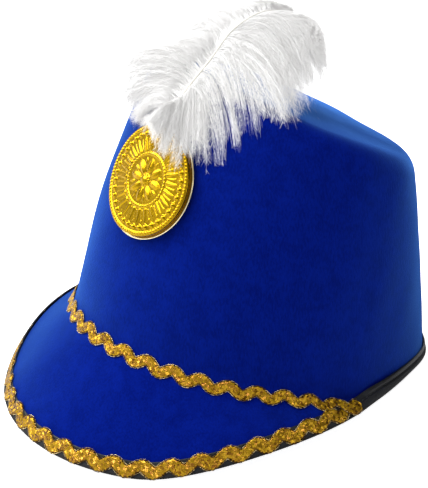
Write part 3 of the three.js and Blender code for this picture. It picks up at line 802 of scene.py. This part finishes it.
def make_braid(name, node, line, material, loop_material):
    total, zigzag, place = line
    along = np.linspace(0, total, int(total / BRAID["step"]))
    slope = np.gradient(zigzag(along), along)
    stretch = np.sqrt(1 + slope ** 2)
    path = np.concatenate([[0], np.cumsum((stretch[1:] + stretch[:-1]) / 2 * np.diff(along))])
    across = np.linspace(-1, 1, BRAID["across"])[None, :]
    pitch = STRAND["pitch"]
    scallop = BRAID["scallop"] * np.cos(2 * np.pi * path / pitch)[:, None]
    from_end = np.minimum(path, path[-1] - path) / BRAID_END["taper"]
    rounded = np.clip(from_end * (2 - from_end), BRAID_END["least"], 1)
    taper = np.sqrt(rounded * (from_end < 1) + (from_end >= 1))[:, None]
    offset = across * (BRAID["half"] + scallop) * taper
    first = (path[:, None] + offset) / pitch
    second = (path[:, None] - offset) / pitch
    i, j = np.round(first), np.round(second)
    over = STRAND["wave"] * np.cos(np.pi * (second + i)) - STRAND["round"] * (first - i) ** 2
    under = -STRAND["wave"] * np.cos(np.pi * (first + j)) - STRAND["round"] * (second - j) ** 2
    weave = np.clip((np.maximum(over, under) + STRAND["lift"]) / STRAND["span"], 0, 1)
    edge = np.sqrt(np.maximum(1 - across ** BRAID["edge_power"], 0))
    height = edge * (BRAID["thick"] - STRAND["height"] + STRAND["height"] * weave)
    where, drop, rise = place(along[:, None] - offset * (slope / stretch)[:, None],
                              zigzag(along)[:, None] + offset / stretch[:, None])
    upper = above_skin(where, drop, rise + height)
    lower = above_skin(where, drop, rise)[:, ::-1]
    section = np.concatenate([upper, lower[:, 1:-1]], 1)
    rows, columns = section.shape[:2]
    points = section.reshape(-1, 3)
    body = grid_faces(rows, columns, closed_columns=True)
    ends = np.stack([np.arange(columns), np.arange(columns)[::-1] + (rows - 1) * columns])
    # Relief tones that paint shade: the weave's low spots, the outer edges and the underside are painted dark
    inside = smoothstep(1 - np.abs(across), *BRAID_EDGE_SHADE)
    tones = {"relief": np.concatenate([weave * inside, np.zeros((rows, columns - BRAID["across"]))], 1)}
    made = new_piece(name, points, facing_out(points, [body, ends]), material, node, tones)

    count = int(path[-1] / PICOT["pitch"])
    share = np.linspace(0, np.pi, PICOT["steps"])
    loops = []
    for side in (-1, 1):
        middles = (np.arange(count) + 0.5) * PICOT["pitch"]
        run = middles[:, None] - np.cos(share)[None, :] * PICOT["pitch"] * 0.5
        base = np.interp(run, path, along)
        lean, steep = np.interp(run, path, slope), np.interp(run, path, stretch)
        out = side * (BRAID["half"] - PICOT["tuck"] + PICOT["reach"] * np.sin(share)[None, :])
        where, drop, rise = place(base - out * lean / steep, zigzag(base) + out / steep)
        height = rise + PICOT["rise"] + PICOT["lift"] * np.sin(share)[None, :]
        loops.append(above_skin(where, drop, height))
    points, faces = tube(np.concatenate(loops), PICOT["radius"], PICOT["sides"])
    new_piece(name + "_loops", points, faces, loop_material)
    return made


def join_braid_line():
    dip = {key: math.radians(value) for key, value in JOIN_BRAID_DIP.items() if key not in ("depth", "over")}

    def down_at(angle):
        share = np.clip((np.abs(angle) - dip["from"]) / (dip["to"] - dip["from"]), 0, 1)
        return JOIN_BRAID_DIP["depth"] * share ** 2

    def rise_at(angle, drop):
        over = smoothstep(np.abs(angle), dip["over_from"], dip["over_to"])
        return JOIN_BRAID["rise"] + over * (JOIN_BRAID_DIP["over"] - rim_drop(angle, drop - edge_down(angle)))

    return braid_line(JOIN_BRAID, down_at, rise_at)


def edge_braid_line():
    def down_at(angle):
        return edge_down(angle) - EDGE_BRAID["above_edge"]

    def rise_at(angle, drop):
        along = drop - edge_down(angle)
        return EDGE_BRAID["rise"] + (1 - wider(angle)) * front_lip(angle, along) - rim_drop(angle, along)

    return braid_line(EDGE_BRAID, down_at, rise_at)


def badge_frame():
    """The middle of the badge's back on the front of the crown, with its up and out directions."""
    def at(share):
        return wall_point(np.array(0.0), np.array(share))

    up = unit(at(BADGE["up_wall"] + BADGE["step"]) - at(BADGE["up_wall"] - BADGE["step"]))
    out = np.cross([1.0, 0, 0], up)
    return at(BADGE["up_wall"]) + out * BADGE["gap"], up, out


def on_badge(x, up, out):
    origin, up_axis, out_axis = badge_frame()
    turn = np.asarray(x) / BADGE["bend"]
    radius = BADGE["bend"] + np.asarray(out)
    bent = radius * np.cos(turn) - BADGE["bend"]
    place = origin + np.asarray(up)[..., None] * up_axis + bent[..., None] * out_axis
    place[..., 0] = radius * np.sin(turn)
    return place


def dome(distance, size):
    return np.sqrt(np.maximum(1 - (distance / size) ** 2, 0))


def ring_of(radius, turn, count, ring, phase=0.0):
    """Offsets along and round the ring from the nearest of count even places on it."""
    spacing = 2 * np.pi / count
    nearest = (np.round(turn / spacing - phase) + phase) * spacing
    return radius * np.cos(turn - nearest) - ring, radius * np.sin(turn - nearest)


def badge_relief(radius, turn):
    """Height of the ornament above the face: bands, studs, rays, petals and a boss."""
    height = np.zeros(np.shape(radius))
    for middle, foot, top, rise in BADGE_BANDS:
        height = np.maximum(height, rise * smoothstep(np.abs(radius - middle), foot, top))
    for count, ring, phase, size, stretch, ground, rise in BADGE_STUDS:
        along, across = ring_of(radius, turn, count, ring, phase)
        height = np.maximum(height, ground + rise * dome(np.hypot(along / stretch, across), size))
    for phase, rise, inner, outer, half in BADGE_RAYS:
        along, across = ring_of(radius, turn, RAY["count"], 0.0, phase)
        share = np.clip((along - inner) / (outer - inner), 0, 1)
        inside = (along > inner) & (along < outer)
        blade = np.maximum(1 - np.abs(across) / (half * (1 - RAY["taper"] * share) + 1e-6), 0)
        slope = RAY["edge"] + (1 - RAY["edge"]) * np.minimum(blade * RAY["steep"], 1)
        height = np.maximum(height, inside * rise * slope * (blade > 0))
    for phase, ring, long_half, wide_half, rise in BADGE_PETALS:
        along, across = ring_of(radius, turn, PETAL["count"], ring, phase)
        petal = dome(np.hypot(along / long_half, across / wide_half), 1.0)
        ripple = np.cos(along * PETAL["along"] - np.abs(across) * PETAL["across"]) ** 2
        vein = PETAL["vein"] * np.exp(-(across / PETAL["vein_half"]) ** 2) + PETAL["ripple"] * ripple
        height = np.maximum(height, rise * petal * (PETAL["ground"] + vein) * (petal > 0))
    along, across = ring_of(radius, turn, BOSS["dimples"], BOSS["ring"])
    dimples = 1 - BOSS["depth"] * dome(np.hypot(along, across), BOSS["dimple"])
    return np.maximum(height, BOSS["rise"] * dome(radius, BOSS["radius"]) * dimples)


def make_badge(material):
    turn = np.linspace(0, 2 * np.pi, BADGE["turns"], endpoint=False)[:, None]
    face = np.linspace(BADGE_FACE["outer"], BADGE_FACE["inner"], BADGE_FACE["rings"])
    base = [(radius, BADGE["face"]) for radius in face]
    radius, height = (np.array(column)[None, :] for column in zip(*(BADGE_RIM + base)))
    on_face = height >= BADGE["face"] - 1e-6
    relief = np.where(on_face, badge_relief(radius + 0 * turn, turn + 0 * radius), 0)
    # Relief tones that paint shade: low relief and the rim wall are later painted darker
    raised = np.where(on_face, np.clip(relief / BADGE_RELIEF_SHADE["full_relief"], 0, 1), BADGE_RELIEF_SHADE["rim"])
    places = on_badge(radius * np.sin(turn), radius * np.cos(turn), height + relief)
    back = on_badge(BADGE["back"] * np.sin(turn), BADGE["back"] * np.cos(turn), 0.0 * turn)
    shell = np.concatenate([back, places], 1)
    rows, columns = shell.shape[:2]
    middles = [on_badge(0.0, 0.0, 0.0), on_badge(0.0, 0.0, BADGE["face"] + BADGE["centre"])]
    points = np.concatenate([shell.reshape(-1, 3), middles])
    station = np.arange(rows) * columns
    after = np.roll(station, -1)
    back_cap = np.stack([after, station, np.full(rows, len(points) - 2)], -1)
    face_cap = np.stack([station + columns - 1, after + columns - 1, np.full(rows, len(points) - 1)], -1)
    body = grid_faces(rows, columns, closed_rows=True)
    # Where the painted rim highlight goes: the lip of the rim above the given height
    on_rim = smoothstep(radius, BADGE_RIM_HIGHLIGHT["from"], BADGE_RIM_HIGHLIGHT["to"])
    rim_highlight = np.broadcast_to((height > BADGE_RIM_HIGHLIGHT["above"]) * on_rim, raised.shape)
    tones = {"relief": np.concatenate([np.concatenate([0 * turn, raised], 1).ravel(), [0, 1]]),
             "rim_highlight": np.concatenate([np.concatenate([0 * turn, rim_highlight], 1).ravel(), [0, 0]])}
    faces = facing_out(points, [body, back_cap[:, ::-1], face_cap[:, ::-1]])
    return new_piece("badge_cast", points, faces, material, "badge", tones)


def ribbons(paths, widths, rng):
    """Points and faces of thin tapering ribbons along paths of shape (count, steps, 3)."""
    count, steps = paths.shape[:2]
    tangent = np.gradient(paths, axis=1)
    facing = rng.normal(size=(count, 1, 3))
    across = unit(np.cross(tangent, facing))
    half = np.asarray(widths)[..., None] / 2
    points = np.stack([paths - across * half, paths + across * half], 2).reshape(-1, 3)
    strip = grid_faces(steps, 2)
    return points, (strip[None] + (np.arange(count) * steps * 2)[:, None, None]).reshape(-1, 4)


def barb_paths(rng, quill, lobe, count, steps):
    """Paths of barbs from the quill to the lobe's line of tips, gathered into pointed locks."""
    locks = lobe["locks"]
    fringe = smooth_line(lobe["tips"], FRINGE_POINTS)
    start, end = lobe["start"]
    lock = rng.integers(0, locks, count)
    jitter = BARB["lock_jitter"]
    lock_place = (np.arange(locks) + 0.5 + rng.uniform(-jitter, jitter, locks)) / locks
    lock_reach = rng.uniform(1 - BARB["lock_short"] * lobe["short"], BARB["lock_over"], locks)
    lock_arch = lobe["arch"] * rng.uniform(*BARB["lock_arch"], locks)
    within = rng.normal(0, BARB["within"], count)
    on_quill = np.clip(lock_place[lock] + BARB["root_spread"] * within / locks, 0, 1)
    share = start + (end - start) * on_quill
    root = at_share(quill, share)
    forward = unit(at_share(quill, share) - at_share(quill, share - BARB["look_back"]))
    tip = at_share(fringe, np.clip(lock_place[lock] + BARB["tip_spread"] * within / locks, 0, 1))
    stray = rng.uniform(*BARB["stray"], count) ** 2
    tip = tip + rng.normal(size=(count, 3)) * (lobe["scatter"] * stray)[:, None]
    reach = lock_reach[lock] * (BARB["over"] - lobe["short"] * rng.uniform(size=count) ** 2)
    tip = root + (tip - root) * reach[:, None]
    bend = root * (1 - BARB["bend_at"]) + tip * BARB["bend_at"]
    bend = bend + rng.normal(size=(count, 3)) * BARB["bend_scatter"]
    bend[:, 2] += lock_arch[lock] + rng.normal(0, BARB["arch_scatter"], count)
    bend += forward * (lobe["lean"] * rng.uniform(*BARB["lean"], count))[:, None]
    share = np.linspace(0, 1, steps)[None, :]
    path = curve_between(root[:, None], bend[:, None], tip[:, None], np.broadcast_to(share, (count, steps)))
    each = (count, 1)
    curl = rng.uniform(*BARB["curl"], each) * np.sin(
        share * rng.uniform(*BARB["curl_turn"], each) + rng.uniform(*BARB["curl_start"], each))
    path = path + unit(rng.normal(size=(count, 1, 3))) * (curl * share)[..., None]
    path[..., 2] -= rng.uniform(*BARB["sag"], each) * share ** 3
    return path


def barbules(rng, paths, length):
    """Fine side hairs all round every path, one thin triangle each, with their shares along it."""
    each = HAIR["each"]
    count, steps = paths.shape[:2]
    share = rng.uniform(HAIR["from"], 1.0, (count, each))
    place = share * (steps - 1)
    low = np.minimum(place.astype(int), steps - 2)
    part = (place - low)[..., None]
    rows = np.arange(count)[:, None]
    base = paths[rows, low] * (1 - part) + paths[rows, low + 1] * part
    tangent = unit(paths[rows, low + 1] - paths[rows, low])
    side = unit(np.cross(tangent, rng.normal(size=(count, each, 3))))
    shorter = HAIR["at_root"] - HAIR["shorten"] * share[..., None]
    reach = length * rng.uniform(*HAIR["vary"], (count, each, 1)) * shorter
    tip = base + (tangent * HAIR_LEAN["along"] + side * HAIR_LEAN["aside"]) * reach
    tip[..., 2] -= HAIR_LEAN["down"] * reach[..., 0]
    half = tangent * HAIR_HALF_WIDTH
    points = np.stack([base - half, base + half, tip], 2).reshape(-1, 3)
    return points, np.arange(len(points)).reshape(-1, 3), np.repeat(share.ravel(), 3)


def make_vane(name, rng, quill, lobes, material, shade_scale):
    """One side of the plume: plain strands, feathered barbs and the fine hairs on these, as one mesh."""
    points, faces, tones = [], [], []

    def add(part_points, part_faces, part_tones):
        faces.append(part_faces + sum(len(part) for part in points))
        points.append(part_points)
        tones.append(part_tones * shade_scale)

    # Painted shade: tones rise from dark at the barb's root to full at its tip, scaled darker on the far vane
    def root_shade_tones(count, steps):
        return np.tile(np.repeat(np.linspace(VANE_ROOT_SHADE, 1, steps), 2), count)

    for lobe in lobes:
        steps = VANE_STRAND["steps"]
        strands = barb_paths(rng, quill, lobe, lobe["strands"], steps)
        taper = (VANE_TAPER - np.linspace(0, 1, steps) ** 2)[None, :]
        widths = VANE_STRAND["width"] * taper * rng.uniform(*VANE_STRAND["vary"], (len(strands), 1))
        add(*ribbons(strands, widths, rng), root_shade_tones(len(strands), steps))
        steps = VANE_BARB["steps"]
        barbs = barb_paths(rng, quill, lobe, lobe["barbs"], steps)
        taper = np.broadcast_to((VANE_TAPER - np.linspace(0, 1, steps))[None, :], barbs.shape[:2])
        add(*ribbons(barbs, VANE_BARB["width"] * taper, rng), root_shade_tones(len(barbs), steps))
        hair_points, hair_faces, hair_share = barbules(rng, barbs, lobe["hair"])
        add(hair_points, hair_faces, HAIR_ROOT_SHADE + (1 - HAIR_ROOT_SHADE) * hair_share)
    tone = {"tone": np.concatenate(tones)}
    return new_piece(name, np.concatenate(points), faces, material, "plume", tone)


def make_plume(material, quill_material):
    rng = np.random.default_rng(SEED + 1)
    lobes = [dict(zip(LOBE_COLUMNS, row)) for row in PLUME_LOBES]
    foot = [on_badge(0.0, up, out) for up, out in QUILL_FOOT]
    quill = smooth_line(foot + QUILL_LINE, QUILL["points"])
    for side, shade_scale in VANE_SHADE.items():
        own = [lobe for lobe in lobes if lobe["side"] == side]
        make_vane(f"plume_{side}_vane", rng, quill, own, material, shade_scale)
    points, faces = tube(quill[None], QUILL["radius"], QUILL["sides"], QUILL["tip"])
    tones = {"tone": np.repeat(np.linspace(0, 1, len(quill)), QUILL["sides"])}
    return new_piece("plume_quill", points, faces, quill_material, "plume", tones)


# Studio

def make_camera():
    turn, lift = math.radians(CAMERA["turn"]), math.radians(CAMERA["lift"])
    right = np.array([math.cos(turn), math.sin(turn), 0])
    back = np.array([math.sin(turn) * math.cos(lift), -math.cos(turn) * math.cos(lift), math.sin(lift)])
    up = np.cross(back, right)
    eye = (np.array(CAMERA_TARGET["place"]) + back * CAMERA["distance"]) * MM
    off_x = FRAME_PIXELS[0] / 2 - CAMERA_TARGET["pixel"][0]
    off_y = FRAME_PIXELS[1] / 2 - CAMERA_TARGET["pixel"][1]
    axis = unit(back - (right * off_x - up * off_y) / CAMERA["focal_pixels"])
    right = unit(np.cross(up, axis))
    up = np.cross(axis, right)
    data = bpy.data.cameras.new("photo_camera")
    data.sensor_width = SENSOR
    data.lens = CAMERA["focal_pixels"] * SENSOR / max(FRAME_PIXELS)
    camera = bpy.data.objects.new("photo_camera", data)
    bpy.context.scene.collection.objects.link(camera)
    matrix = np.eye(4)
    matrix[:3, 0], matrix[:3, 1], matrix[:3, 2], matrix[:3, 3] = right, up, axis, eye
    camera.matrix_world = Matrix(matrix.tolist())
    bpy.context.scene.camera = camera


def make_light(name, place, size, power):
    data = bpy.data.lights.new(name, "AREA")
    data.shape = "DISK"
    data.size = size
    data.energy = power
    light = bpy.data.objects.new(name, data)
    bpy.context.scene.collection.objects.link(light)
    axis = unit(np.array(place, float) - np.array(LIGHT_TARGET, float))
    right = unit(np.cross([0, 0, 1.0], axis))
    matrix = np.eye(4)
    up = np.cross(axis, right)
    matrix[:3, 0], matrix[:3, 1], matrix[:3, 2], matrix[:3, 3] = right, up, axis, place
    light.matrix_world = Matrix(matrix.tolist())


def make_studio(nap):
    scene = bpy.context.scene
    scene.view_settings.view_transform = "Standard"
    world = bpy.data.worlds.new("soft_studio")
    scene.world = world
    world.use_nodes = True
    g = Graph(world.node_tree)
    direction = g.node("ShaderNodeTexCoord").outputs["Generated"]
    towards_key = g.node("ShaderNodeVectorMath", {"operation": "DOT_PRODUCT"})
    g.put(towards_key.inputs[0], direction)
    g.put(towards_key.inputs[1], SKY["towards"])
    background = world.node_tree.nodes["Background"]
    background.inputs["Color"].default_value = (1, 1, 1, 1)
    strength = g.span(towards_key.outputs["Value"], *SKY["span"], *SKY["strength"])
    g.put(background.inputs["Strength"], strength)
    reach = FLOOR_REACH
    mesh = bpy.data.meshes.new("studio_floor")
    corners = [(-reach, -reach, 0), (reach, -reach, 0), (reach, reach, 0), (-reach, reach, 0)]
    mesh.from_pydata(corners, [], [(0, 1, 2, 3)])
    mesh.materials.append(floor_material(nap))
    floor = bpy.data.objects.new("studio_floor", mesh)
    scene.collection.objects.link(floor)
    for name, place, size, power in LIGHTS:
        make_light(name, place, size, power)


make_camera()
nap, flakes = fibre_nap(), glitter()
make_studio(nap)
make_felt_body(felt_material(nap))
make_binding(tape_material(nap))
make_stitches(thread_material(nap))
gold_braid, pale_loops = braid_material(flakes), picot_material(flakes)
make_braid("join_zigzag", "join_braid", join_braid_line(), gold_braid, pale_loops)
make_braid("edge_zigzag", "edge_braid", edge_braid_line(), gold_braid, pale_loops)
make_badge(badge_material(nap))
make_plume(
    feather_material("White feather barbs", colour(0.66, 0.655, 0.65), colour(0.8, 0.795, 0.79)),
    feather_material("Feather quill", colour(0.6, 0.57, 0.5), colour(0.66, 0.65, 0.62)),
)
